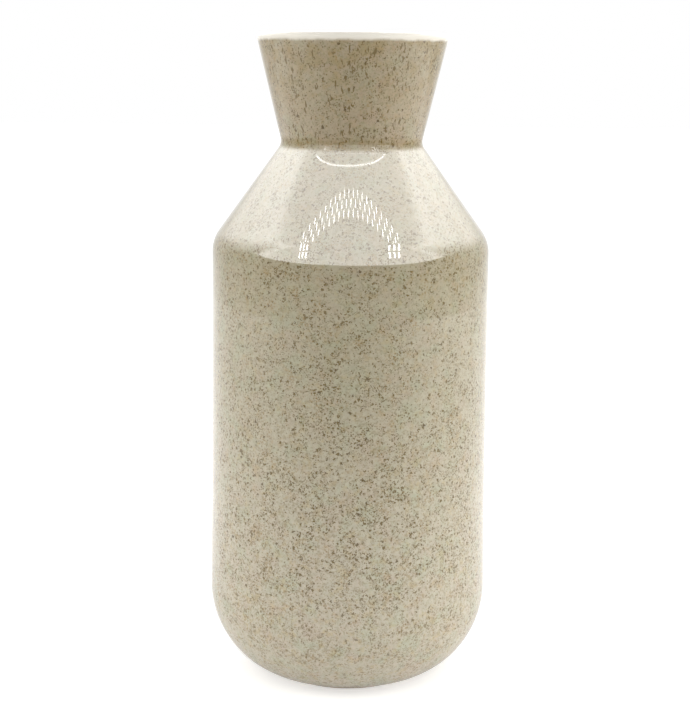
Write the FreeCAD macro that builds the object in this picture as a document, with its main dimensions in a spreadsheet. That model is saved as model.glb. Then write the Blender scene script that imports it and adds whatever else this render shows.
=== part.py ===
import FreeCAD, Part
import math
import os

import Sketcher

# Bottle vase in slip-cast stoneware.
# A nearly straight body with a large rounded lower corner, a conical shoulder, a tight waist and a
# flared collar, all one even wall of clay that stands on a low foot ring.
# A speckled glaze coats the outside and rolls over the lip, and a plain liner glaze coats the inside.
# Millimetres. The origin is on the table at the centre of the foot, and +Z is up.

SIZES = [
    ("overall_height", 305.0, "table to the top of the glazed lip"),
    ("body_diameter", 133.0, "widest, just above the rounded lower corner"),
    ("shoulder_diameter", 130.5, "where the wall and the shoulder would meet if unrounded"),
    ("shoulder_height_share", 0.6846, "height of that unrounded corner in the overall height"),
    ("shoulder_round", 16.5, "radius of the shoulder corner"),
    ("waist_diameter", 65.6, "where the shoulder and the collar would meet if unrounded"),
    ("waist_height_share", 0.8328, "height of that unrounded corner in the overall height"),
    ("waist_round", 5.2, "radius of the hollow at the waist"),
    ("rim_diameter", 90.2, "outside of the flared collar, at the height of its lip"),
    ("corner_width", 32.0, "how far the rounded lower corner runs in under the body"),
    ("corner_height", 40.0, "how far it runs up the wall, from the underside"),
    ("corner_round", 26.0, "radius of its lower, tighter half"),
    ("foot_diameter", 74.0, "outside of the foot ring"),
    ("foot_height", 2.0, "foot ring below the underside"),
    ("foot_ring_width", 5.5, "sole of the foot ring, which is left bare"),
    ("foot_edge_round", 0.8, "sponged edges of the foot ring"),
    ("wall_thickness", 4.9, "finished outside to the clay's inner face"),
    ("glaze_thickness", 0.4, "speckled glaze"),
    ("liner_thickness", 0.4, "liner glaze"),
    ("glaze_line_height", 3.4, "table to the lower edge of the speckled glaze"),
    ("inner_glaze_depth", 14.0, "how far the speckled glaze runs down inside the lip"),
    ("shoulder_height", "=overall_height * shoulder_height_share", "table to the shoulder corner"),
    ("waist_height", "=overall_height * waist_height_share", "table to the waist corner"),
]

# How far each face of the wall lies in from the finished outside
GLAZE_FRONT = "0"
CLAY_OUTSIDE = "sizes.glaze_thickness"
CLAY_INSIDE = "sizes.wall_thickness"
GLAZE_INSIDE_LIP = "sizes.wall_thickness + sizes.glaze_thickness"
LINER_FRONT = "sizes.wall_thickness + sizes.liner_thickness"

# Sketcher's numbers for the origin and the upright axis, and for the points of a line or an arc
ORIGIN, UPRIGHT_AXIS = range(-1, -3, -1)
START, END, CENTRE = range(1, 4)

document = FreeCAD.newDocument("bottle_vase")
sheet = document.addObject("Spreadsheet::Sheet", "sizes")
for row, (alias, value, meaning) in enumerate(SIZES, start=1):
    sheet.set(f"A{row}", meaning)
    sheet.set(f"B{row}", str(value))
    sheet.setAlias(f"B{row}", alias)
document.recompute()


def size(alias):
    return float(getattr(sheet, alias))


def point(across, up):
    """A point or direction in a section: across from the axis, and up from the table."""
    return FreeCAD.Vector(across, up, 0)


DOWN = point(0, -1)


def inward(low, high):
    """The unit normal of a straight run of the wall, pointing into the vase."""
    along = (high - low).normalize()
    return point(-along.y, along.x)


def share_of_corner(one, other):
    """From a corner of two runs to the centre of a round in it, for a radius of one."""
    return (one + other) / (1 + one * other)


class Outside:
    """The finished outside of the vase: its straight runs, and the centres of the rounds between them.

    Every face of the clay and the glazes is an even inset of this line, so they share its centres.
    """

    def __init__(self):
        self.wall_foot = point(size("body_diameter") / 2, size("foot_height") + size("corner_height"))
        self.shoulder = point(size("shoulder_diameter") / 2, size("shoulder_height"))
        self.waist = point(size("waist_diameter") / 2, size("waist_height"))
        self.rim = point(size("rim_diameter") / 2, size("overall_height"))
        self.into_wall = inward(self.wall_foot, self.shoulder)
        self.into_cone = inward(self.shoulder, self.waist)
        self.into_collar = inward(self.waist, self.rim)
        self.along_collar = (self.rim - self.waist).normalize()

        self.shoulder_round = size("shoulder_round")
        self.waist_round = size("waist_round")
        shoulder_way = share_of_corner(self.into_wall, self.into_cone)
        waist_way = share_of_corner(self.into_cone, self.into_collar)
        self.shoulder_centre = self.shoulder + shoulder_way * self.shoulder_round
        self.waist_centre = self.waist - waist_way * self.waist_round

        # The lower corner is two tangent arcs: the upper one's radius follows from the lower one's
        self.low_round = size("corner_round")
        self.low_centre = point(
            self.wall_foot.x - size("corner_width"), size("foot_height") + self.low_round
        )
        reach = self.wall_foot - self.low_centre
        beyond = reach * reach - self.low_round**2
        self.high_round = -beyond / (2 * (reach * self.into_wall + self.low_round))
        self.high_centre = self.wall_foot + self.into_wall * self.high_round
        self.to_join = (self.low_centre - self.high_centre).normalize()

        # The clay's lip is a half round across the collar's wall
        self.lip_round = (size("wall_thickness") - size("glaze_thickness")) / 2
        self.lip_inset = size("glaze_thickness") + self.lip_round
        self.lip_centre = self.on_collar(self.lip_inset, size("overall_height") - self.lip_inset)

    def on_collar(self, inset, height):
        """The point at this height on the collar's run at this inset."""
        start = self.waist + self.into_collar * inset
        return start + self.along_collar * ((height - start.y) / self.along_collar.y)

    def beside_lip(self, inset):
        """The point abreast of the lip's centre on the collar's run at this inset."""
        return self.lip_centre + self.into_collar * (inset - self.lip_inset)


class Section:
    """One closed half section, drawn in a sketch on the upright plane through the axis."""

    def __init__(self, body, outside):
        self.outside = outside
        self.sketch = body.newObject("Sketcher::SketchObject", body.Name + "_section")
        plane = next(item for item in body.Origin.OriginFeatures if item.Role == "XZ_Plane")
        self.sketch.AttachmentSupport = [(plane, "")]
        self.sketch.MapMode = "FlatFace"
        self.draw_outside()

    def worth(self, expression):
        """What an expression of the sheet comes to."""
        return float(self.sketch.evalExpression(expression))

    def line(self, start, end, construction=False):
        return self.sketch.addGeometry(Part.LineSegment(start, end), construction)

    def arc(self, centre, radius, start, end, construction=False):
        """An arc, counter-clockwise from one direction to another."""
        circle = Part.Circle(centre, FreeCAD.Vector(0, 0, 1), radius)
        turn = Part.ArcOfCircle(circle, math.atan2(start.y, start.x), math.atan2(end.y, end.x))
        return self.sketch.addGeometry(turn, construction)

    def tie(self, *what):
        return self.sketch.addConstraint(Sketcher.Constraint(*what))

    def measure(self, name, expression, *what):
        """A named dimension that follows an expression of the sheet."""
        index = self.tie(*what, self.worth(expression))
        self.sketch.renameConstraint(index, name)
        self.sketch.setExpression(f"Constraints.{name}", expression)

    def across(self, name, expression, item, end):
        self.measure(name + "_across", expression, "DistanceX", ORIGIN, START, item, end)

    def up(self, name, expression, item, end):
        self.measure(name + "_up", expression, "DistanceY", ORIGIN, START, item, end)

    def set_in(self, name, inset, line, run):
        """Keeps a line parallel to a run of the outside, and set in from it or on it."""
        self.tie("Parallel", line, run)
        if inset == GLAZE_FRONT:
            self.tie("PointOnObject", line, START, run)
        else:
            self.measure(name + "_inset", inset, "Distance", line, START, run)

    def joined(self, first, first_end, second, second_end):
        """A line from one end to another."""
        line = self.line(self.sketch.getPoint(first, first_end), self.sketch.getPoint(second, second_end))
        self.tie("Coincident", line, START, first, first_end)
        self.tie("Coincident", line, END, second, second_end)
        return line

    def run_on(self, item, end, goal):
        """A line that starts at an end of another piece."""
        line = self.line(self.sketch.getPoint(item, end), goal)
        self.tie("Coincident", item, end, line, START)
        return line

    def draw_outside(self):
        """The finished outside, as construction lines that hold its driving sizes."""
        o = self.outside
        self.wall_run = self.line(o.wall_foot, o.shoulder, True)
        self.cone_run = self.line(o.shoulder, o.waist, True)
        self.collar_run = self.line(o.waist, o.rim, True)
        self.tie("Coincident", self.wall_run, END, self.cone_run, START)
        self.tie("Coincident", self.cone_run, END, self.collar_run, START)
        self.across("wall_foot", "sizes.body_diameter / 2", self.wall_run, START)
        self.up("wall_foot", "sizes.foot_height + sizes.corner_height", self.wall_run, START)
        self.across("shoulder", "sizes.shoulder_diameter / 2", self.wall_run, END)
        self.up("shoulder", "sizes.shoulder_height", self.wall_run, END)
        self.across("waist", "sizes.waist_diameter / 2", self.cone_run, END)
        self.up("waist", "sizes.waist_height", self.cone_run, END)
        self.across("rim", "sizes.rim_diameter / 2", self.collar_run, END)
        self.up("rim", "sizes.overall_height", self.collar_run, END)

        self.low_arc = self.arc(o.low_centre, o.low_round, DOWN, o.to_join, True)
        self.high_arc = self.arc(o.high_centre, o.high_round, o.to_join, -o.into_wall, True)
        self.tie("Tangent", self.low_arc, END, self.high_arc, START)
        self.tie("Tangent", self.high_arc, END, self.wall_run, START)
        self.tie("Vertical", self.low_arc, START, self.low_arc, CENTRE)
        self.measure("corner_round", "sizes.corner_round", "Radius", self.low_arc)
        self.across("corner", "sizes.body_diameter / 2 - sizes.corner_width", self.low_arc, CENTRE)
        self.up("corner", "sizes.foot_height + sizes.corner_round", self.low_arc, CENTRE)

    def face(self, name, inset, lowest=DOWN, top=None):
        """One face of the wall, from the lower corner up to the lip, as an even inset of the outside.

        lowest is the direction from the lower corner's centre to the face's low end, and top its high
        end. It gives the lowest and the highest piece.
        """
        o = self.outside
        depth = self.worth(inset)
        low_round = o.low_round - depth
        high_round = o.high_round - depth
        shoulder_round = o.shoulder_round - depth
        waist_round = o.waist_round + depth
        wall_low = o.high_centre - o.into_wall * high_round
        wall_high = o.shoulder_centre - o.into_wall * shoulder_round
        cone_low = o.shoulder_centre - o.into_cone * shoulder_round
        cone_high = o.waist_centre + o.into_cone * waist_round
        collar_low = o.waist_centre + o.into_collar * waist_round

        low = self.arc(o.low_centre, low_round, lowest, o.to_join)
        high = self.arc(o.high_centre, high_round, o.to_join, -o.into_wall)
        wall = self.line(wall_low, wall_high)
        shoulder = self.arc(o.shoulder_centre, shoulder_round, -o.into_wall, -o.into_cone)
        cone = self.line(cone_low, cone_high)
        waist = self.arc(o.waist_centre, waist_round, o.into_collar, o.into_cone)
        collar = self.line(collar_low, top or o.beside_lip(depth))

        self.tie("Tangent", low, END, high, START)
        self.tie("Tangent", high, END, wall, START)
        self.tie("Tangent", wall, END, shoulder, START)
        self.tie("Tangent", shoulder, END, cone, START)
        self.tie("Tangent", cone, END, waist, END)
        self.tie("Tangent", waist, START, collar, START)
        self.set_in(name + "_wall", inset, wall, self.wall_run)
        self.set_in(name + "_cone", inset, cone, self.cone_run)
        self.set_in(name + "_collar", inset, collar, self.collar_run)
        self.measure(name + "_low_round", f"sizes.corner_round - ({inset})", "Radius", low)
        self.measure(name + "_shoulder_round", f"sizes.shoulder_round - ({inset})", "Radius", shoulder)
        self.measure(name + "_waist_round", f"sizes.waist_round + {inset}", "Radius", waist)
        self.tie("Coincident", high, CENTRE, self.high_arc, CENTRE)
        self.tie("Vertical", low, CENTRE, self.low_arc, CENTRE)
        return low, collar

    def lip(self, name, radius, outer_line, inner_line, inner_end):
        """A half round over the lip, from the collar's outer side to its inner one."""
        o = self.outside
        over = self.arc(o.lip_centre, radius, -o.into_collar, o.into_collar)
        self.tie("Tangent", outer_line, END, over, START)
        self.tie("Tangent", inner_line, inner_end, over, END)
        mid_wall = "(sizes.wall_thickness + sizes.glaze_thickness) / 2"
        self.up(name + "_lip", f"sizes.overall_height - {mid_wall}", over, CENTRE)

    def floor(self, low):
        """The flat run from the low end of a face to the axis."""
        start = self.sketch.getPoint(low, START)
        floor = self.line(start, point(0, start.y))
        self.tie("Tangent", low, START, floor, START)
        self.tie("Horizontal", floor)
        self.tie("PointOnObject", floor, END, UPRIGHT_AXIS)
        return floor


def new_body(name):
    body = document.addObject("PartDesign::Body", name)
    body.Label = name
    body.Placement = FreeCAD.Placement()
    return body


def revolve(body, section):
    turned = body.newObject("PartDesign::Revolution", body.Name + "_turned")
    turned.Profile = section.sketch
    turned.ReferenceAxis = (section.sketch, ["V_Axis"])
    turned.Angle = 360
    document.recompute()
    return turned


def stoneware_body(outside):
    """The clay: one even wall from foot to lip, on a bare foot ring round a shallow recess."""
    body = new_body("stoneware_body")
    section = Section(body, outside)
    foot = size("foot_diameter") / 2
    ring = foot - size("foot_ring_width")
    underside = size("foot_height")

    # The outer face runs down to the foot ring's outer side
    across = (foot - outside.low_centre.x) / (outside.low_round - size("glaze_thickness"))
    lowest = point(across, -math.sqrt(1 - across**2))
    low, collar = section.face("outer", CLAY_OUTSIDE, lowest)
    inner_low, inner_collar = section.face("inner", CLAY_INSIDE)
    section.lip("clay", outside.lip_round, collar, inner_collar, END)

    # The floor, and the underside from the axis out to the foot ring and round it
    floor = section.floor(inner_low)
    middle = section.run_on(floor, END, point(0, underside))
    recess = section.run_on(middle, END, point(ring, underside))
    ring_inside = section.run_on(recess, END, point(ring, 0))
    sole = section.run_on(ring_inside, END, point(foot, 0))
    ring_outside = section.joined(sole, END, low, START)
    section.tie("PointOnObject", middle, END, UPRIGHT_AXIS)
    section.tie("Horizontal", recess)
    section.tie("Vertical", ring_inside)
    section.tie("Horizontal", sole)
    section.tie("Vertical", ring_outside)
    section.tie("PointOnObject", sole, START, ORIGIN)
    section.up("underside", "sizes.foot_height", middle, END)
    section.across("ring", "sizes.foot_diameter / 2 - sizes.foot_ring_width", sole, START)
    section.across("foot", "sizes.foot_diameter / 2", sole, END)
    turned = revolve(body, section)

    sole_edges = [
        f"Edge{number}"
        for number, edge in enumerate(turned.Shape.Edges, start=1)
        if edge.Closed and edge.BoundBox.ZMax < underside / 2
    ]
    rounded = body.newObject("PartDesign::Fillet", "foot_edges")
    rounded.Base = (turned, sole_edges)
    rounded.setExpression("Radius", "sizes.foot_edge_round")
    body.Tip = rounded
    return body


def speckled_glaze(outside):
    """The outer coat: from its line above the foot, up the wall, over the lip and a little way in."""
    body = new_body("speckled_glaze")
    section = Section(body, outside)
    glaze = size("glaze_thickness")
    inner_height = size("overall_height") - size("inner_glaze_depth")

    rise = (size("glaze_line_height") - outside.low_centre.y) / (outside.low_round - glaze)
    lowest = point(math.sqrt(1 - rise**2), rise)
    front_low, front_collar = section.face("front", GLAZE_FRONT, lowest)
    back_low, back_collar = section.face("back", CLAY_OUTSIDE, lowest)

    # Inside the lip
    inner_foot = outside.on_collar(size("wall_thickness"), inner_height)
    back_run = section.line(outside.beside_lip(size("wall_thickness")), inner_foot)
    front_foot = inner_foot + outside.into_collar * glaze
    front_run = section.line(outside.beside_lip(size("wall_thickness") + glaze), front_foot)
    section.set_in("back_inside", CLAY_INSIDE, back_run, section.collar_run)
    section.set_in("front_inside", GLAZE_INSIDE_LIP, front_run, section.collar_run)
    section.lip("front", outside.lip_round + glaze, front_collar, front_run, START)
    section.lip("back", outside.lip_round, back_collar, back_run, START)

    # Its two edges are square to the clay
    lower_edge = section.joined(front_low, START, back_low, START)
    section.tie("PointOnObject", section.low_arc, CENTRE, lower_edge)
    section.up("lower_edge", "sizes.glaze_line_height", back_low, START)
    inner_edge = section.joined(front_run, END, back_run, END)
    section.tie("Perpendicular", inner_edge, back_run)
    section.up("inner_edge", "sizes.overall_height - sizes.inner_glaze_depth", back_run, END)
    revolve(body, section)
    return body


def liner_glaze(outside):
    """The inner coat: from the speckled glaze's inner edge, down the neck and over the floor."""
    body = new_body("liner_glaze")
    section = Section(body, outside)
    inner_height = size("overall_height") - size("inner_glaze_depth")

    back_top = outside.on_collar(size("wall_thickness"), inner_height)
    front_top = back_top + outside.into_collar * size("liner_thickness")
    back_low, back_collar = section.face("back", CLAY_INSIDE, top=back_top)
    front_low, front_collar = section.face("front", LINER_FRONT, top=front_top)
    section.joined(section.floor(back_low), END, section.floor(front_low), END)

    upper_edge = section.joined(back_collar, END, front_collar, END)
    section.tie("Perpendicular", upper_edge, back_collar)
    section.up("upper_edge", "sizes.overall_height - sizes.inner_glaze_depth", back_collar, END)
    revolve(body, section)
    return body


outside = Outside()
sub_parts = [stoneware_body(outside), speckled_glaze(outside), liner_glaze(outside)]
document.recompute()

for item in document.Objects:
    if "Invalid" in item.State or "Error" in item.State:
        raise RuntimeError(f"{item.Name} did not rebuild: {item.State}")
for sub_part in sub_parts:
    shape = sub_part.Shape
    if shape.isNull() or not shape.isValid() or len(shape.Solids) != 1:
        raise RuntimeError(f"{sub_part.Label} is not one sound solid")

os.makedirs("parts", exist_ok=True)
for sub_part in sub_parts:
    sub_part.Shape.exportStep(f"parts/{sub_part.Label}.step")
    box = sub_part.Shape.optimalBoundingBox()
    print(
        f"{sub_part.Label}: {sub_part.Shape.Volume:.0f} mm3, {box.XLength:.2f} x {box.YLength:.2f} mm, "
        f"from {box.ZMin:.2f} to {box.ZMax:.2f} mm up"
    )
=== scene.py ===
import math

import bpy
from bpy.props import FloatProperty, FloatVectorProperty, IntProperty, PointerProperty
from mathutils import Matrix, Vector, noise


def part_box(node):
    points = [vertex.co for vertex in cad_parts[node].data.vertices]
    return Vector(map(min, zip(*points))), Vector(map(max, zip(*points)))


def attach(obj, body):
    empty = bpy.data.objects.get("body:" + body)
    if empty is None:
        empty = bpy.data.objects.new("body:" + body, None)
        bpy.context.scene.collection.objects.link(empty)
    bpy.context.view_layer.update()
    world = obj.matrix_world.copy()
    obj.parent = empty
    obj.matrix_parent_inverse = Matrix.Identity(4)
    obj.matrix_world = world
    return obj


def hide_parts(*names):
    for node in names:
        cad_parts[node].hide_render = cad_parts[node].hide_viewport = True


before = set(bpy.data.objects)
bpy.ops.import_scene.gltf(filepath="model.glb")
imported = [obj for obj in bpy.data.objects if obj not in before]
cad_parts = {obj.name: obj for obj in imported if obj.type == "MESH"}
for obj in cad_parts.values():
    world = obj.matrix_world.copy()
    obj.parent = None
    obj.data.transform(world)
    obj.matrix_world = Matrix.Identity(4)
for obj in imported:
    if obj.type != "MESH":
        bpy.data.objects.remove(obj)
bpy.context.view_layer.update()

bl_info = {
    "name": "Speckled bottle vase",
    "version": (1, 0, 0),
    "blender": (4, 5, 0),
    "location": "3D View > Sidebar > Vase",
    "description": "Makes a glazed stoneware bottle vase and the studio it stands in",
    "category": "Add Mesh",
}

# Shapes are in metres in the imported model's frame, and finishes work in millimetres. The table is
# at height zero, and the vase's axis is upright through the origin.
MM = 0.001
COAT_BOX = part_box("speckled_glaze")

# The cards mirrored in the glaze hang at this height, inside a dome of this radius
CARD_HEIGHT = 0.50
DOME_RADIUS = 1.2

# Where the mirrored lamp's two ends run on: corners in x and y, in millimetres
LAMP_LEGS = (
    ((-196, -152), (-170, -176), (-300, -305), (-225, -280)),
    ((-340, -355), (-262, -345), (-652, -720), (-517, -717)),
    ((194, -150), (150, -180), (255, -260), (185, -270)),
    ((290, -310), (216, -332), (526, -620), (392, -641)),
)

# How bright the mirrored dome is: heights as shares of its radius, and levels
DOME_LEVELS = (
    (0.00, 0.155),
    (0.05, 0.115),
    (0.15, 0.115),
    (0.34, 0.155),
    (0.45, 0.300),
    (0.51, 0.400),
    (0.60, 0.520),
    (0.66, 0.690),
    (0.72, 0.800),
    (0.765, 0.955),
    (0.79, 0.955),
    (0.82, 0.780),
    (0.85, 0.745),
    (0.92, 0.800),
)


def length(name, description, default):
    """A length that a user may change."""
    return FloatProperty(name=name, description=description, default=default, unit="LENGTH", precision=4)


def slant(name, description, degrees):
    """An angle that a user may change."""
    return FloatProperty(name=name, description=description, default=math.radians(degrees), subtype="ANGLE")


def power(name, description, default):
    """A lamp's watts, that a user may change."""
    return FloatProperty(name=name, description=description, default=default, min=0, unit="POWER")


def colour(name, description, default):
    """A surface colour that a user may change."""
    return FloatVectorProperty(
        name=name, description=description, default=default, subtype="COLOR", size=3, min=0, max=1
    )


def share(name, description, default, most=1.0):
    """A share or a strength that a user may change."""
    return FloatProperty(name=name, description=description, default=default, min=0, max=most)


class VaseSizes(bpy.types.PropertyGroup):
    """The finished vase."""

    overall_height: length("Height", "Table to the top of the glazed lip", COAT_BOX[1].z)
    body_diameter: length("Body diameter", "Widest, just above the rounded lower corner", 2 * COAT_BOX[1].x)
    shoulder_diameter: length("Shoulder diameter", "Where wall and shoulder would meet if sharp", 130.5 * MM)
    shoulder_height_share: share("Shoulder height", "Height of that corner in the overall height", 0.6846)
    shoulder_round: length("Shoulder round", "Radius of the shoulder corner", 16.5 * MM)
    waist_diameter: length("Waist diameter", "Where shoulder and collar would meet if sharp", 65.6 * MM)
    waist_height_share: share("Waist height", "Height of that corner in the overall height", 0.8328)
    waist_round: length("Waist round", "Radius of the hollow at the waist", 5.2 * MM)
    rim_diameter: length("Rim diameter", "Outside of the flared collar at its lip", 90.2 * MM)
    corner_width: length("Corner width", "How far the lower corner runs in under the body", 32.0 * MM)
    corner_height: length("Corner height", "How far it runs up the wall from the underside", 40.0 * MM)
    corner_round: length("Corner round", "Radius of the lower, tighter half of that corner", 26.0 * MM)
    foot_diameter: length("Foot diameter", "Outside of the foot ring", 74.0 * MM)
    foot_height: length("Foot height", "Foot ring below the underside", 2.0 * MM)
    foot_ring_width: length("Foot ring width", "Sole of the foot ring", 5.5 * MM)
    foot_edge_round: length("Foot edge round", "Sponged edges of the foot ring", 0.8 * MM)
    wall_thickness: length("Wall", "Finished outside to the clay's inner face", 4.9 * MM)
    glaze_thickness: length("Glaze", "Thickness of each coat", 0.4 * MM)
    glaze_line_height: length("Glaze line", "Table to the lower edge of the outer coat", 3.4 * MM)
    inner_glaze_depth: length("Inner glaze depth", "How far the outer coat runs down inside", 14.0 * MM)
    unevenness: length("Unevenness", "How far the glazed surface wanders in or out", 0.008 * MM)
    bead: length("Foot bead", "Swelling of the glaze just above its lower edge", 0.22 * MM)
    around: IntProperty(name="Facets", description="Facets round the glazed surface", default=288, min=24)
    spacing: length("Row spacing", "Distance between rows of the glazed surface", 1.45 * MM)


class GlazeColours(bpy.types.PropertyGroup):
    """The glazes and the clay."""

    # Lighter than the glaze itself near the foot: painted light from the floor below
    painted_bounce_cream: colour("Low cream", "Glaze between the specks near the foot", (0.500, 0.450, 0.348))
    high_cream: colour("High cream", "The same near the shoulder and on it", (0.330, 0.290, 0.190))
    collar_wash: colour("Collar wash", "The same on the collar", (0.308, 0.250, 0.157))
    # Partly thinner glaze over the lip and partly a painted highlight where the rounded lip catches the
    # light
    pale_lip_and_highlight: colour("Pale lip", "Where the glaze runs thin over the lip", (0.69, 0.65, 0.57))
    sage: colour("Sage", "Greenish grey patches", (0.926, 1.000, 0.965))
    blush: colour("Blush", "Pinkish patches", (1.000, 0.948, 0.952))
    ochre: colour("Ochre", "Small yellowish brown stains", (0.965, 0.900, 0.770))
    toast: colour("Toast", "Browner patches towards the lip", (0.860, 0.825, 0.590))
    haze: colour("Haze", "Soft grey brown spots under the surface", (0.194, 0.158, 0.068))
    speck: colour("Speck", "Fine brown specks", (0.114, 0.072, 0.010))
    rust: colour("Rust", "Clustered rusty specks", (0.240, 0.155, 0.052))
    iron: colour("Iron", "The few bold dark specks", (0.075, 0.042, 0.002))
    liner: colour("Liner", "Plain glaze on the inside", (0.62, 0.58, 0.48))
    clay: colour("Clay", "Bare fired clay of the foot", (0.50, 0.41, 0.30))
    grog: colour("Grog", "Sandy grains in the clay", (0.22, 0.16, 0.10))


class Studio(bpy.types.PropertyGroup):
    """The floor, the lamps and the camera."""

    floor_colour: colour("Floor", "Pale floor", (0.82, 0.82, 0.82))
    surround: share("Surround", "Even light from all round", 0.75, most=4)
    dome_glow: share("Dome", "Brightness of the dome mirrored in the glaze", 9.0, most=40)
    chip_glow: share("Lamp", "Brightness of the lamp mirrored in the shoulder", 30.0, most=100)
    bow_glow: share("Bow", "Brightness of the thin bow mirrored below the waist", 20.0, most=100)
    top_watts: power("Top lamp", "Soft lamp overhead", 0.6)
    left_watts: power("Left lamp", "Soft lamp at the left", 11.0)
    right_watts: power("Right lamp", "Soft lamp at the right", 15.8)
    camera_distance: length("Camera distance", "Camera to the vase's axis, level", 720 * MM)
    camera_height: length("Camera height", "Camera above the table", 293.1 * MM)
    camera_pitch: slant("Pitch", "Camera points down by this", 9.11)
    camera_roll: slant("Roll", "Camera leans by this", 0.55)
    camera_yaw: slant("Yaw", "Camera points left by this", 0.19)
    camera_shift: FloatProperty(
        name="Shift", description="View shifted up, as a share of its longer side", default=-0.0706
    )
    focal_length: FloatProperty(name="Lens", description="Focal length in millimetres", default=77.81, min=1)


class Vase(bpy.types.PropertyGroup):
    """All settings."""

    sizes: PointerProperty(type=VaseSizes)
    colours: PointerProperty(type=GlazeColours)
    studio: PointerProperty(type=Studio)


def turned(direction):
    """A direction in the half section, turned a quarter to the left."""
    return Vector((-direction.y, direction.x))


def bearing(direction):
    """The angle at which a direction in the half section points."""
    return math.atan2(direction.y, direction.x)


def run(start, end, spacing):
    """Points along a straight run, both ends among them."""
    steps = max(1, round((end - start).length / spacing))
    return [start.lerp(end, step / steps) for step in range(steps + 1)]


def bend(centre, radius, first, last, spacing):
    """Points along an arc between two bearings, both ends among them."""
    steps = max(3, round(abs(last - first) * radius / spacing))
    bearings = [first + (last - first) * step / steps for step in range(steps + 1)]
    return [centre + radius * Vector((math.cos(b), math.sin(b))) for b in bearings]


def joined(*stretches):
    """Stretches of points as one line, without the point that each shares with the one before."""
    line = list(stretches[0])
    for stretch in stretches[1:]:
        line += stretch[1:]
    return line


class Outline:
    """The finished outside in half section, and any even inset of it.

    A point is how far across from the axis it is, and how far up from the table.
    """

    def __init__(self, sizes):
        self.sizes = sizes
        self.wall_foot = Vector((sizes.body_diameter / 2, sizes.foot_height + sizes.corner_height))
        shoulder_height = sizes.overall_height * sizes.shoulder_height_share
        waist_height = sizes.overall_height * sizes.waist_height_share
        self.shoulder = Vector((sizes.shoulder_diameter / 2, shoulder_height))
        self.waist = Vector((sizes.waist_diameter / 2, waist_height))
        self.rim = Vector((sizes.rim_diameter / 2, sizes.overall_height))
        self.into_wall = turned((self.shoulder - self.wall_foot).normalized())
        self.into_cone = turned((self.waist - self.shoulder).normalized())
        self.along_collar = (self.rim - self.waist).normalized()
        self.into_collar = turned(self.along_collar)

        shoulder_way = self.into_wall + self.into_cone
        shoulder_way /= 1 + self.into_wall.dot(self.into_cone)
        self.shoulder_centre = self.shoulder + shoulder_way * sizes.shoulder_round
        waist_way = self.into_cone + self.into_collar
        waist_way /= 1 + self.into_cone.dot(self.into_collar)
        self.waist_centre = self.waist - waist_way * sizes.waist_round

        # The lower corner is two tangent arcs: the upper one's radius follows from the lower one's
        self.low_centre = Vector(
            (self.wall_foot.x - sizes.corner_width, sizes.foot_height + sizes.corner_round)
        )
        reach = self.wall_foot - self.low_centre
        beyond = reach.length_squared - sizes.corner_round**2
        self.high_round = -beyond / (2 * (reach.dot(self.into_wall) + sizes.corner_round))
        self.high_centre = self.wall_foot + self.into_wall * self.high_round
        self.to_join = (self.low_centre - self.high_centre).normalized()

        # The clay's lip is a half round across the collar's wall
        self.lip_round = (sizes.wall_thickness - sizes.glaze_thickness) / 2
        self.lip_inset = sizes.glaze_thickness + self.lip_round
        self.lip_centre = self.on_collar(self.lip_inset, sizes.overall_height - self.lip_inset)

    def on_collar(self, inset, height):
        """The point at this height on the collar at this inset."""
        start = self.waist + self.into_collar * inset
        return start + self.along_collar * ((height - start.y) / self.along_collar.y)

    def beside_lip(self, inset):
        """The point abreast of the lip's centre on the collar at this inset."""
        return self.lip_centre + self.into_collar * (inset - self.lip_inset)

    def across_foot_corner(self, inset, height):
        """Bearing from the lower corner's centre to its point at this height."""
        radius = self.sizes.corner_round - inset
        return math.asin((height - self.low_centre.y) / radius)

    def face(self, inset, lowest, spacing, top=None):
        """Points up one face of the wall, from a bearing in its lower corner to the lip or to top."""
        sizes = self.sizes
        join = bearing(self.to_join)
        wall, cone = bearing(-self.into_wall), bearing(-self.into_cone)
        shoulder_round = sizes.shoulder_round - inset
        waist_round = sizes.waist_round + inset
        corner = joined(
            bend(self.low_centre, sizes.corner_round - inset, lowest, join, spacing),
            bend(self.high_centre, self.high_round - inset, join, wall, spacing),
        )
        shoulder = bend(self.shoulder_centre, shoulder_round, wall, cone, spacing)
        waist_first = bearing(self.into_cone) + math.tau
        waist_last = bearing(self.into_collar)
        waist = bend(self.waist_centre, waist_round, waist_first, waist_last, spacing / 2)
        return joined(
            corner,
            run(corner[-1], shoulder[0], spacing),
            shoulder,
            run(shoulder[-1], waist[0], spacing),
            waist,
            run(waist[-1], top or self.beside_lip(inset), spacing),
        )

    def over_lip(self, radius, spacing):
        """Points over the lip, from the collar's outer side to its inner one."""
        first = bearing(-self.into_collar)
        return bend(self.lip_centre, radius, first, first + math.pi, spacing)


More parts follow.
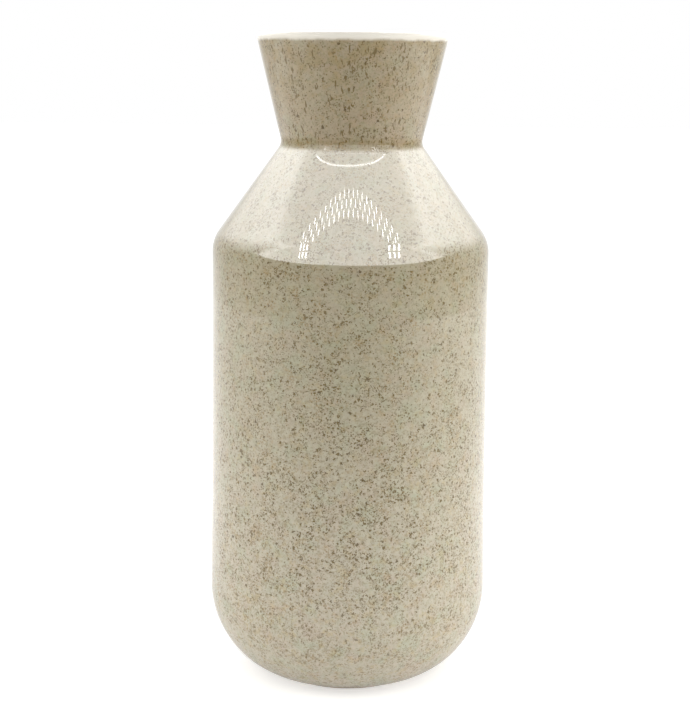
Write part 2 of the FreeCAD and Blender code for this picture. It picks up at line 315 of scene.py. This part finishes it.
def lathe(name, line, around, relief):
    """A closed solid of revolution. The line runs anticlockwise round its half section.

    An end of the line that lies on the axis becomes one point. relief gives how far a point moves
    out of the surface, from where it is and how far along the line its row is.
    """
    on_axis = line[0].x < 1e-9
    rows = line[1:-1] if on_axis else line
    count = len(rows)
    vertices = []
    for index, point in enumerate(rows):
        before = line[index] if on_axis else rows[index - 1]
        after = line[index + 2] if on_axis else rows[(index + 1) % count]
        outward = -turned((after - before).normalized())
        for step in range(around):
            angle = math.tau * step / around
            cos, sin = math.cos(angle), math.sin(angle)
            place = Vector((point.x * cos, point.x * sin, point.y))
            out = relief(place, index)
            place += out * Vector((outward.x * cos, outward.x * sin, outward.y))
            vertices.append(place)
    faces = []
    for index in range(count - 1 if on_axis else count):
        here, above = index * around, (index + 1) % count * around
        for step in range(around):
            beside = (step + 1) % around
            faces.append((here + step, here + beside, above + beside, above + step))
    if on_axis:
        for end, row, first in ((line[0], 0, 1), (line[-1], (count - 1) * around, 0)):
            pole = len(vertices)
            vertices.append(Vector((0, 0, end.y)))
            for step in range(around):
                pair = (row + step, row + (step + 1) % around)
                faces.append((pole, pair[first], pair[1 - first]))
    mesh = bpy.data.meshes.new(name)
    mesh.from_pydata(vertices, [], faces)
    mesh.validate()
    mesh.shade_smooth()
    piece = bpy.data.objects.new(name, mesh)
    bpy.context.scene.collection.objects.link(piece)
    return piece


class Finish:
    """A material's node tree, with short calls that add a node and give its output."""

    def __init__(self, name):
        self.material = bpy.data.materials.new(name)
        self.material.use_nodes = True
        self.nodes = self.material.node_tree.nodes
        self.links = self.material.node_tree.links
        self.shader = self.nodes["Principled BSDF"]

    def node(self, kind, inputs, **settings):
        """A new node of this kind, with its inputs linked or set."""
        made = self.nodes.new("ShaderNode" + kind)
        for key, value in settings.items():
            setattr(made, key, value)
        for socket, value in inputs.items():
            self.feed(made.inputs[socket], value)
        return made

    def feed(self, socket, value):
        """Links a socket, or sets its own value."""
        if isinstance(value, bpy.types.NodeSocket):
            self.links.new(value, socket)
        else:
            socket.default_value = value

    def set(self, **inputs):
        """Sets or links sockets of the shader, given with underscores for spaces."""
        for name, value in inputs.items():
            self.feed(self.shader.inputs[name.replace("_", " ")], value)

    def place(self, stretch=(1, 1, 1), shift=(0, 0, 0)):
        """Where a point is on the piece, in millimetres, stretched along each axis and shifted."""
        here = self.node("TexCoord", {}).outputs["Object"]
        scale = [1 / MM / along for along in stretch]
        return self.node("Mapping", {"Vector": here, "Scale": scale, "Location": shift}).outputs[0]

    def height(self):
        """Millimetres above the table."""
        return self.node("SeparateXYZ", {"Vector": self.place()}).outputs["Z"]

    def maths(self, operation, first, second):
        """One sum of two values."""
        return self.node("Math", {0: first, 1: second}, operation=operation).outputs[0]

    def ease(self, value, low, high, at_low=0.0, at_high=1.0):
        """A value eased from one level at low to another at high."""
        inputs = {"Value": value, "From Min": low, "From Max": high, "To Min": at_low, "To Max": at_high}
        return self.node("MapRange", inputs, interpolation_type="SMOOTHSTEP").outputs[0]

    def levels(self, value, stops):
        """A level read off between stops, each of them a value and its level."""
        ramp = self.node("ValToRGB", {"Fac": value})
        marks = ramp.color_ramp.elements
        marks.remove(marks[1])
        for index, (at, level) in enumerate(stops):
            mark = marks.new(at) if index else marks[0]
            mark.position = at
            mark.color = (level, level, level, 1)
        return ramp.outputs["Color"]

    def cloud(self, place, size, detail=2.0, rough=0.5):
        """Soft noise from 0 to 1, with features of about this many millimetres."""
        inputs = {"Vector": place, "Scale": 1 / size, "Detail": detail, "Roughness": rough}
        return self.node("TexNoise", inputs).outputs["Fac"]

    def ragged(self, place):
        """The place pushed about, mostly by under half a millimetre, so that specks aren't round."""
        push = self.node("TexNoise", {"Vector": place, "Scale": 1.1, "Detail": 1.0}).outputs["Color"]
        centred = self.node("VectorMath", {0: push, 1: (0.5, 0.5, 0.5)}, operation="SUBTRACT").outputs[0]
        inputs = {0: centred, 1: (2.4, 2.4, 2.4), 2: place}
        return self.node("VectorMath", inputs, operation="MULTIPLY_ADD").outputs[0]

    def specks(self, place, apart, smallest, largest, kept, soft):
        """Round specks: their spacing, radii and soft edge in millimetres, and the share kept."""
        cells = self.node("TexVoronoi", {"Vector": place, "Scale": 1 / apart})
        chance = self.node("SeparateColor", {"Color": cells.outputs["Color"]})
        radius = self.ease(chance.outputs["Red"], 0, 1, smallest / apart, largest / apart)
        beyond = self.maths("SUBTRACT", cells.outputs["Distance"], radius)
        spot = self.ease(beyond, -soft / apart, soft / apart, 1, 0)
        here = self.maths("LESS_THAN", chance.outputs["Green"], kept)
        return self.maths("MULTIPLY", spot, here)

    def mix(self, amount, first, second):
        """A value part of the way from the first to the second."""
        return self.node("Mix", {0: amount, 2: first, 3: second}).outputs[0]

    def blend(self, amount, under, over):
        """One colour over another."""
        inputs = {0: amount, 6: self.solid(under), 7: self.solid(over)}
        return self.node("Mix", inputs, data_type="RGBA").outputs[2]

    def tint(self, amount, under, over):
        """A colour multiplied by another."""
        inputs = {0: amount, 6: self.solid(under), 7: self.solid(over)}
        return self.node("Mix", inputs, data_type="RGBA", blend_type="MULTIPLY").outputs[2]

    def faint(self, spots, opacity, strength):
        """How far spots cover what is below them."""
        return self.maths("MULTIPLY", self.maths("MULTIPLY", spots, opacity), strength)

    def dim(self, level, colour):
        """A colour at another level."""
        return self.node("VectorMath", {0: colour, "Scale": level}, operation="SCALE").outputs[0]

    def solid(self, value):
        """A plain colour with full alpha. An output stays as it is."""
        return value if isinstance(value, bpy.types.NodeSocket) else (*value, 1)

    def bump(self, height, distance, strength):
        """A surface normal from a height of 0 to 1 that stands for this many millimetres."""
        inputs = {"Height": height, "Distance": distance * MM, "Strength": strength}
        return self.node("Bump", inputs).outputs[0]


def speckled_glaze_finish(colours, sizes):
    """Glossy cream glaze, densely freckled, with a light, clear lip: partly thinner glaze there, partly a
    painted highlight.
    """
    finish = Finish("speckled_glaze")
    place = finish.place()
    uneven = finish.ragged(place)
    drawn = finish.ragged(finish.place(stretch=(1, 1, 3.2), shift=(7, 3, 11)))
    height = finish.height()
    rim = sizes.overall_height / MM
    waist = rim * sizes.waist_height_share
    collar = finish.ease(height, waist - 4, waist + 3)
    waver = finish.cloud(place, 6)
    lip_line = finish.maths("ADD", height, finish.ease(waver, 0.3, 0.7, -0.25, 0.25))
    lip = finish.ease(lip_line, rim - 4.5, rim - 2.8)

    # The ground is paler low down, which is painted light standing for light thrown up from the floor, and
    # browner on the collar.
    # It drifts towards green and towards pink, with small yellowish stains and, near the lip, browner
    # patches.
    # Painted light: the cream is lightened towards the foot as if lit from the floor below
    ground = finish.blend(finish.ease(height, 0, rim * 0.71), colours.painted_bounce_cream, colours.high_cream)
    ground = finish.blend(collar, ground, colours.collar_wash)
    drift = finish.cloud(place, 9, detail=3, rough=0.6)
    flush = finish.cloud(finish.place(shift=(31, 5, 17)), 8, detail=3, rough=0.6)
    ground = finish.tint(finish.ease(drift, 0.45, 0.70), ground, colours.sage)
    ground = finish.tint(finish.ease(flush, 0.45, 0.70), ground, colours.blush)
    stain = finish.cloud(finish.place(shift=(23, 37, 2)), 4, detail=3, rough=0.7)
    ground = finish.tint(finish.ease(stain, 0.50, 0.68), ground, colours.ochre)
    toasted = finish.ease(drift, 0.38, 0.56, 1, 0)
    toasted = finish.faint(toasted, 0.9, finish.ease(height, rim - 42, rim - 12))
    ground = finish.tint(toasted, ground, colours.toast)
    mottle = finish.ease(finish.cloud(place, 1.8, detail=3, rough=0.7), 0.35, 0.65, 0.93, 1.07)
    ground = finish.dim(mottle, ground)

    # Soft spots below the surface, then fine specks, rusty clusters and a few bold ones. All but
    # the rusty ones are fainter towards the foot.
    strength = finish.ease(height, 0, 85, 0.45, 1.0)
    strength = finish.maths("ADD", strength, finish.maths("MULTIPLY", collar, 0.3))
    crowd = finish.ease(finish.cloud(finish.place(shift=(3, 43, 9)), 9, detail=2), 0.38, 0.62, 0.25, 1.0)
    soft_spots = finish.specks(uneven, apart=1.15, smallest=0.24, largest=0.60, kept=0.85, soft=0.22)
    ground = finish.blend(finish.faint(soft_spots, 0.55, strength), ground, colours.haze)
    dusted = finish.place(shift=(13, 17, 19))
    dust = finish.specks(dusted, apart=0.95, smallest=0.14, largest=0.38, kept=crowd, soft=0.10)
    ground = finish.blend(finish.faint(dust, 0.70, strength), ground, colours.speck)
    fine = finish.specks(uneven, apart=1.50, smallest=0.26, largest=0.64, kept=crowd, soft=0.10)
    streaks = finish.specks(drawn, apart=1.50, smallest=0.26, largest=0.60, kept=crowd, soft=0.12)
    fine = finish.mix(finish.maths("MULTIPLY", collar, 0.9), fine, streaks)
    freckled = finish.blend(finish.faint(fine, 0.95, strength), ground, colours.speck)
    cluster = finish.ease(finish.cloud(finish.place(shift=(11, 2, 29)), 7, detail=2), 0.53, 0.67)
    rusted = finish.place(shift=(5, 5, 5))
    rusty = finish.specks(rusted, apart=1.00, smallest=0.20, largest=0.50, kept=0.90, soft=0.20)
    freckled = finish.blend(finish.faint(rusty, 0.7, cluster), freckled, colours.rust)
    sparse = finish.ragged(finish.place(shift=(2, 9, 4)))
    bold = finish.specks(sparse, apart=3.60, smallest=0.34, largest=0.66, kept=0.70, soft=0.12)
    freckled = finish.blend(finish.faint(bold, 0.9, strength), freckled, colours.iron)

    # The gloss is fainter over the lip and in the hollow of the waist
    hollow = finish.ease(height, waist - 2.8, waist - 0.5, 0.5, 0.15)
    hollow = finish.maths("ADD", hollow, finish.ease(height, waist + 2, waist + 5, 0, 0.35))
    peel = finish.cloud(place, 3.5, detail=1)
    finish.set(
        # The lip's light colour is thinner glaze plus a painted highlight
        Base_Color=finish.blend(lip, freckled, colours.pale_lip_and_highlight),
        Roughness=finish.ease(finish.cloud(place, 20), 0.3, 0.7, 0.02, 0.035),
        IOR=1.56,
        Specular_IOR_Level=finish.maths("MINIMUM", finish.ease(lip, 0, 1, 0.5, 0.1), hollow),
        Normal=finish.bump(peel, 0.004, 0.3),
    )
    return finish.material


def liner_glaze_finish(colours):
    """Plain glossy glaze with a faint drift of tone."""
    finish = Finish("liner_glaze")
    place = finish.place()
    drift = finish.cloud(place, 18, detail=3)
    shade = [tone * 0.86 for tone in colours.liner]
    peel = finish.cloud(place, 4, detail=1)
    finish.set(
        Base_Color=finish.blend(finish.ease(drift, 0.35, 0.65), colours.liner, shade),
        Roughness=finish.ease(finish.cloud(place, 14), 0.3, 0.7, 0.10, 0.18),
        IOR=1.54,
        Normal=finish.bump(peel, 0.03, 0.5),
    )
    return finish.material


def bare_clay_finish(colours):
    """Matt sandy clay with grains of grog and a sponged skin."""
    finish = Finish("bare_stoneware")
    place = finish.place()
    drift = finish.cloud(place, 7, detail=4, rough=0.65)
    warm = [colours.clay[0] * 0.84, colours.clay[1] * 0.78, colours.clay[2] * 0.70]
    ground = finish.blend(finish.ease(drift, 0.35, 0.65), colours.clay, warm)
    grains = finish.specks(place, apart=1.10, smallest=0.06, largest=0.26, kept=0.70, soft=0.08)
    sand = finish.cloud(place, 0.5, detail=3, rough=0.7)
    finish.set(
        Base_Color=finish.blend(finish.maths("MULTIPLY", grains, 0.7), ground, colours.grog),
        Roughness=finish.ease(sand, 0.3, 0.7, 0.78, 0.92),
        Normal=finish.bump(sand, 0.12, 0.6),
    )
    return finish.material


def fit(piece, node, material):
    """Gives a finished piece its finish, hangs it on the vase's root, and hides the node that it stands for.
    """
    piece.data.materials.append(material)
    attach(piece, "root")
    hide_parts(node)


def wander(place, size, seed):
    """Gentle noise from -1 to 1 over a surface, with features of about this size."""
    return noise.noise(place / size + Vector((seed, 0, 0)))


class VASE_OT_clay(bpy.types.Operator):
    """Makes the clay, from its floor up to the lip and down to the bare foot ring"""

    bl_idname = "vase.clay"
    bl_label = "Clay"

    def execute(self, context):
        sizes = context.scene.vase.sizes
        outline = Outline(sizes)
        around = 180
        hidden, fine, coarse = 5 * MM, 0.35 * MM, 1.2 * MM
        foot = sizes.foot_diameter / 2
        ring = foot - sizes.foot_ring_width
        edge = sizes.foot_edge_round
        down, out = -math.pi / 2, 0.0
        lowest = -math.acos((foot - outline.low_centre.x) / (sizes.corner_round - sizes.glaze_thickness))

        inner = outline.face(sizes.wall_thickness, down, hidden)
        outer = outline.face(sizes.glaze_thickness, lowest, hidden)
        floor_middle = Vector((0, inner[0].y))
        underside = Vector((0, sizes.foot_height))
        recess = Vector((ring, sizes.foot_height))
        line = joined(
            run(underside, recess, coarse),
            run(recess, Vector((ring, edge)), fine),
            bend(Vector((ring + edge, edge)), edge, math.pi, math.pi * 1.5, fine),
            run(Vector((ring + edge, 0)), Vector((foot - edge, 0)), fine),
            bend(Vector((foot - edge, edge)), edge, down, out, fine),
            run(Vector((foot, edge)), outer[0], fine),
            outer,
            outline.over_lip(outline.lip_round, hidden),
            inner[::-1],
            run(inner[0], floor_middle, hidden),
        )
        glaze_line = sizes.glaze_line_height
        sand_depth, sand_size = 0.05 * MM, 2 * MM

        def sandy(place, row):
            """Lifts and dips of the bare clay, which stay off the sole."""
            if place.z >= glaze_line or place.z < edge:
                return 0.0
            return sand_depth * wander(place, sand_size, 4)

        piece = lathe("foot_and_clay_wall", line, around, sandy)
        fit(piece, "stoneware_body", bare_clay_finish(context.scene.vase.colours))
        return {"FINISHED"}


class VASE_OT_speckled_glaze(bpy.types.Operator):
    """Makes the outer coat, from its bead above the foot ring, over the lip and a little way in"""

    bl_idname = "vase.speckled_glaze"
    bl_label = "Speckled glaze"

    def execute(self, context):
        sizes = context.scene.vase.sizes
        outline = Outline(sizes)
        glaze, wall = sizes.glaze_thickness, sizes.wall_thickness
        margin = 0.06 * MM
        reach = margin + sizes.unevenness
        inner_height = sizes.overall_height - sizes.inner_glaze_depth
        hidden, lip_fine, edge_fine = 5 * MM, 0.45 * MM, 0.1 * MM

        back_low = outline.across_foot_corner(glaze, sizes.glaze_line_height)
        front = outline.face(reach, back_low, sizes.spacing)
        lip = outline.over_lip(outline.lip_round + glaze - reach, lip_fine)
        back = outline.face(glaze, back_low, hidden)
        back_foot = outline.on_collar(wall, inner_height)
        front_foot = back_foot + outline.into_collar * (glaze - reach)
        edge_rows = run(back[0], front[0], edge_fine)
        line = joined(
            edge_rows,
            front,
            lip,
            run(lip[-1], front_foot, sizes.spacing),
            run(front_foot, back_foot, 2 * edge_fine),
            run(back_foot, outline.beside_lip(wall), hidden),
            outline.over_lip(outline.lip_round, 1.0 * MM)[::-1],
            back[::-1],
        )[:-1]
        inside_rows = 10
        seen = len(edge_rows) + len(front) + len(lip) + inside_rows
        bead_height = 2.6 * MM
        patch = 40 * MM

        def flow(place, row):
            """The glaze wanders in and out, and swells to a bead above its lower edge."""
            if row < len(edge_rows) or row > seen:
                return 0.0
            rise = place.z - sizes.glaze_line_height
            swell = max(0.0, 1 - abs(rise / bead_height - 0.5) * 2)
            return sizes.unevenness * wander(place, patch, 1) + sizes.bead * swell**0.7

        piece = lathe("speckled_glaze_coat", line, sizes.around, flow)
        fit(piece, "speckled_glaze", speckled_glaze_finish(context.scene.vase.colours, sizes))
        return {"FINISHED"}


class VASE_OT_liner_glaze(bpy.types.Operator):
    """Makes the inner coat, from the speckled coat's inner edge down over the floor"""

    bl_idname = "vase.liner_glaze"
    bl_label = "Liner glaze"

    def execute(self, context):
        sizes = context.scene.vase.sizes
        outline = Outline(sizes)
        wall = sizes.wall_thickness
        front_inset = wall + sizes.glaze_thickness
        around = 200
        down = -math.pi / 2
        seen, hidden, edge_fine = 2.4 * MM, 6 * MM, 0.2 * MM
        inner_height = sizes.overall_height - sizes.inner_glaze_depth
        back_top = outline.on_collar(wall, inner_height)
        front_top = back_top + outline.into_collar * sizes.glaze_thickness
        front = outline.face(front_inset, down, seen, front_top)
        back = outline.face(wall, down, hidden, back_top)
        against_clay = joined(
            run(Vector((0, back[0].y)), back[0], hidden),
            back,
            run(back_top, front_top, edge_fine),
        )
        line = joined(
            against_clay,
            front[::-1],
            run(front[0], Vector((0, front[0].y)), seen),
        )
        # The line's first point is on the axis and has no row
        hidden_rows = len(against_clay) - 2
        still_above = inner_height - 2 * MM
        depth, patch = 0.04 * MM, 22 * MM

        def flow(place, row):
            """The glazed inside wanders gently."""
            if row < hidden_rows or place.z > still_above:
                return 0.0
            return -depth * (1 + wander(place, patch, 7))

        piece = lathe("liner_glaze_coat", line, around, flow)
        fit(piece, "liner_glaze", liner_glaze_finish(context.scene.vase.colours))
        return {"FINISHED"}


def lamp(name, place, aim, width, depth, watts):
    """A soft rectangular lamp that lights but isn't mirrored in the glaze."""
    light = bpy.data.lights.new(name, "AREA")
    light.shape = "RECTANGLE"
    light.size, light.size_y = width, depth
    light.energy = watts
    holder = bpy.data.objects.new(name, light)
    holder.location = place
    holder.rotation_euler = (Vector(aim) - Vector(place)).to_track_quat("-Z", "Y").to_euler()
    holder.visible_glossy = False
    bpy.context.scene.collection.objects.link(holder)


def glow_finish(name, strength):
    """Even white light."""
    finish = Finish(name)
    light = finish.node("Emission", {"Strength": strength})
    finish.links.new(light.outputs[0], finish.nodes["Material Output"].inputs["Surface"])
    return finish.material


def cards(name, quads, strength):
    """White cards that show only as reflections."""
    mesh = bpy.data.meshes.new(name)
    corners = [corner for quad in quads for corner in quad]
    mesh.from_pydata(corners, [], [tuple(range(4 * index, 4 * index + 4)) for index in range(len(quads))])
    mesh.materials.append(glow_finish(name, strength))
    only_mirrored(bpy.data.objects.new(name, mesh))


def dome(name, radius, strength):
    """A dome that shows only as a reflection. It glows more high up, and low down too ahead of the vase."""
    around, rings = 48, 18
    vertices = []
    for ring in range(rings):
        rise = math.pi / 2 * ring / rings
        for step in range(around):
            turn = math.tau * step / around
            level = radius * math.cos(rise)
            vertices.append((level * math.cos(turn), level * math.sin(turn), radius * math.sin(rise)))
    top = len(vertices)
    vertices.append((0, 0, radius))
    faces = []
    for ring in range(rings):
        for step in range(around):
            here = ring * around + step
            beside = ring * around + (step + 1) % around
            if ring == rings - 1:
                faces.append((here, beside, top))
            else:
                faces.append((here, beside, beside + around, here + around))
    mesh = bpy.data.meshes.new(name)
    mesh.from_pydata(vertices, [], faces)
    finish = Finish(name)
    where = finish.node("SeparateXYZ", {"Vector": finish.place()}).outputs
    rise = finish.maths("DIVIDE", where["Z"], radius / MM)
    # Ahead of the vase the glow of the dome's top comes down to a low edge
    low_edge = finish.ease(where["Y"], -1100, 500, 0.17, 0.40)
    ahead = finish.ease(rise, low_edge, finish.maths("ADD", low_edge, 0.08))
    ahead = finish.faint(ahead, 0.9, finish.ease(where["Y"], -600, 500, 1, 0))
    rise = finish.maths("MAXIMUM", rise, ahead)
    glow = finish.maths("MULTIPLY", finish.levels(rise, DOME_LEVELS), strength)
    light = finish.node("Emission", {"Strength": glow})
    finish.links.new(light.outputs[0], finish.nodes["Material Output"].inputs["Surface"])
    mesh.materials.append(finish.material)
    only_mirrored(bpy.data.objects.new(name, mesh))


def only_mirrored(piece):
    """Puts a glowing piece of the studio in the scene, where it shows only as a reflection."""
    piece.visible_camera = False
    piece.visible_diffuse = False
    piece.visible_transmission = False
    piece.visible_shadow = False
    bpy.context.scene.collection.objects.link(piece)


def flat_quad(x, y, width, depth, height):
    """A level rectangle about a middle."""
    return [
        (x - width / 2, y - depth / 2, height),
        (x + width / 2, y - depth / 2, height),
        (x + width / 2, y + depth / 2, height),
        (x - width / 2, y + depth / 2, height),
    ]


def fan(corners, height):
    """Three level cards side by side, from between the first two corners to between the last two."""
    first, second, third, fourth = corners
    quads = []
    for near, far in ((0.0, 0.16), (0.42, 0.58), (0.84, 1.0)):
        spots = (first.lerp(second, near), first.lerp(second, far))
        spots += (third.lerp(fourth, far), third.lerp(fourth, near))
        quads.append([(*spot, height) for spot in spots])
    return quads


def chip_quads():
    """The lamp mirrored in the shoulder: three staggered rows of chips on a bow, and its two legs."""
    width, depth = 2.8 * MM, 5.6 * MM
    pitch, row_gap = 19.5 * MM, 6.8 * MM
    nearest, half_width = -169.5 * MM, 196 * MM
    bend_back = 0.65
    quads = []
    for row in (-1, 0, 1):
        for column in range(-10, 11):
            x = pitch * (column + row % 2 / 2)
            y = nearest + row_gap * row + bend_back * x * x
            if abs(x) < half_width:
                quads.append(flat_quad(x, y, width, depth, CARD_HEIGHT))
    for leg in LAMP_LEGS:
        quads += fan([Vector(corner) * MM for corner in leg], CARD_HEIGHT)
    return quads


def bow_quads():
    """A thin level bow, in short rectangles, with its middle towards the camera."""
    centre, radius, width = Vector((-1.5, 111.6)) * MM, 256.2 * MM, 0.9 * MM
    height = CARD_HEIGHT
    bearings = [math.radians(-90 + 3 * step) for step in range(-16, 17)]
    quads = []
    for first, last in zip(bearings, bearings[1:]):
        corners = ((first, 0), (last, 0), (last, width), (first, width))
        rims = [(b, radius - inward) for b, inward in corners]
        quads.append([(centre.x + r * math.cos(b), centre.y + r * math.sin(b), height) for b, r in rims])
    return quads


def floor_finish(studio):
    """Pale floor that meets the white surround without a line, and keeps the vase's shadow.

    Mirrored in the glaze it glows less ahead of the vase and close to its foot.
    """
    finish = Finish("floor")
    finish.set(Base_Color=(*studio.floor_colour, 1), Roughness=0.9, Specular_IOR_Level=0.1)
    grain = finish.cloud(finish.place(), 3, detail=2)
    finish.set(Normal=finish.bump(grain, 0.05, 0.2))
    path = finish.node("LightPath", {}).outputs
    seen = finish.maths("MAXIMUM", path["Is Camera Ray"], path["Is Transmission Ray"])
    ahead = {0: finish.place(), 1: (0, -750, 0)}
    from_ahead = finish.node("VectorMath", ahead, operation="DISTANCE").outputs["Value"]
    from_foot = finish.node("VectorMath", {0: finish.place()}, operation="LENGTH").outputs["Value"]
    mirrored = finish.ease(from_ahead, 250, 900, 0.2, 0.7)
    mirrored = finish.maths("MULTIPLY", mirrored, finish.ease(from_foot, 80, 350, 0.3, 1.0))
    mirrored = finish.maths("MULTIPLY", mirrored, path["Is Glossy Ray"])
    glow = finish.maths("ADD", finish.maths("MULTIPLY", seen, 0.5), mirrored)
    finish.set(Emission_Color=(1, 1, 1, 1), Emission_Strength=glow)
    return finish.material


class VASE_OT_stage(bpy.types.Operator):
    """Makes the floor, the surround, the lamps and the camera"""

    bl_idname = "vase.stage"
    bl_label = "Stage"

    def execute(self, context):
        studio = context.scene.vase.studio
        self.floor(studio)
        self.surround(context.scene, studio)
        self.lamps(studio)
        self.camera(context.scene, studio)
        context.scene.view_settings.view_transform = "Standard"
        return {"FINISHED"}

    def floor(self, studio):
        """A wide level floor."""
        reach = 6.0
        mesh = bpy.data.meshes.new("floor")
        mesh.from_pydata(flat_quad(0, 0, 2 * reach, 2 * reach, 0), [], [(0, 1, 2, 3)])
        mesh.materials.append(floor_finish(studio))
        piece = bpy.data.objects.new("floor", mesh)
        bpy.context.scene.collection.objects.link(piece)

    def surround(self, scene, studio):
        """The world is white where it is seen or mirrored, and lights the vase a little less."""
        world = bpy.data.worlds.new("white_surround")
        world.use_nodes = True
        nodes, links = world.node_tree.nodes, world.node_tree.links
        path = nodes.new("ShaderNodeLightPath")
        seen = path.outputs["Is Camera Ray"]
        for kind in ("Is Glossy Ray", "Is Transmission Ray"):
            either = nodes.new("ShaderNodeMath")
            either.operation = "MAXIMUM"
            links.new(seen, either.inputs[0])
            links.new(path.outputs[kind], either.inputs[1])
            seen = either.outputs[0]
        strength = nodes.new("ShaderNodeMapRange")
        strength.inputs["To Min"].default_value = studio.surround
        strength.inputs["To Max"].default_value = 1.0
        links.new(seen, strength.inputs["Value"])
        background = nodes["Background"]
        background.inputs["Color"].default_value = (1, 1, 1, 1)
        links.new(strength.outputs[0], background.inputs["Strength"])
        scene.world = world

    def lamps(self, studio):
        """The soft lamps, and what the glaze mirrors of the studio."""
        aim = (0, 0, 0.15)
        aside, ahead, level = 1.4, -0.175, 0.35
        lamp("top_lamp", (0, -0.1, 0.9), aim, 0.9, 0.9, studio.top_watts)
        lamp("left_lamp", (-aside, ahead, level), aim, 1.4, 0.8, studio.left_watts)
        lamp("right_lamp", (aside, ahead, level), aim, 1.4, 0.8, studio.right_watts)
        dome("dome", DOME_RADIUS, studio.dome_glow)
        cards("lamp_chips", chip_quads(), studio.chip_glow)
        cards("lamp_bow", bow_quads(), studio.bow_glow)

    def camera(self, scene, studio):
        """The camera, at the photograph's angle."""
        lens = bpy.data.cameras.new("camera")
        lens.lens = studio.focal_length
        lens.sensor_width = 36
        lens.shift_y = studio.camera_shift
        lens.clip_start = 0.01
        holder = bpy.data.objects.new("camera", lens)
        turn = Matrix.Rotation(studio.camera_yaw, 4, "Z")
        tilt = Matrix.Rotation(math.pi / 2 - studio.camera_pitch, 4, "X")
        lean = Matrix.Rotation(studio.camera_roll, 4, "Z")
        place = Matrix.Translation((0, -studio.camera_distance, studio.camera_height))
        holder.matrix_world = place @ turn @ tilt @ lean
        scene.collection.objects.link(holder)
        scene.camera = holder


class VASE_PT_panel(bpy.types.Panel):
    """Lists what makes the vase"""

    bl_idname = "VASE_PT_panel"
    bl_label = "Bottle vase"
    bl_space_type = "VIEW_3D"
    bl_region_type = "UI"
    bl_category = "Vase"

    def draw(self, context):
        for operator in OPERATORS:
            self.layout.operator(operator.bl_idname)
        settings = context.scene.vase
        for group in (settings.sizes, settings.colours, settings.studio):
            column = self.layout.column()
            for name in group.__annotations__:
                column.prop(group, name)


OPERATORS = (VASE_OT_clay, VASE_OT_speckled_glaze, VASE_OT_liner_glaze, VASE_OT_stage)
CLASSES = (VaseSizes, GlazeColours, Studio, Vase, *OPERATORS, VASE_PT_panel)


def register():
    for kind in CLASSES:
        bpy.utils.register_class(kind)
    bpy.types.Scene.vase = PointerProperty(type=Vase)


def unregister():
    del bpy.types.Scene.vase
    for kind in reversed(CLASSES):
        bpy.utils.unregister_class(kind)


def main():
    register()
    bpy.ops.vase.clay()
    bpy.ops.vase.speckled_glaze()
    bpy.ops.vase.liner_glaze()
    bpy.ops.vase.stage()


if __name__ == "__main__":
    main()
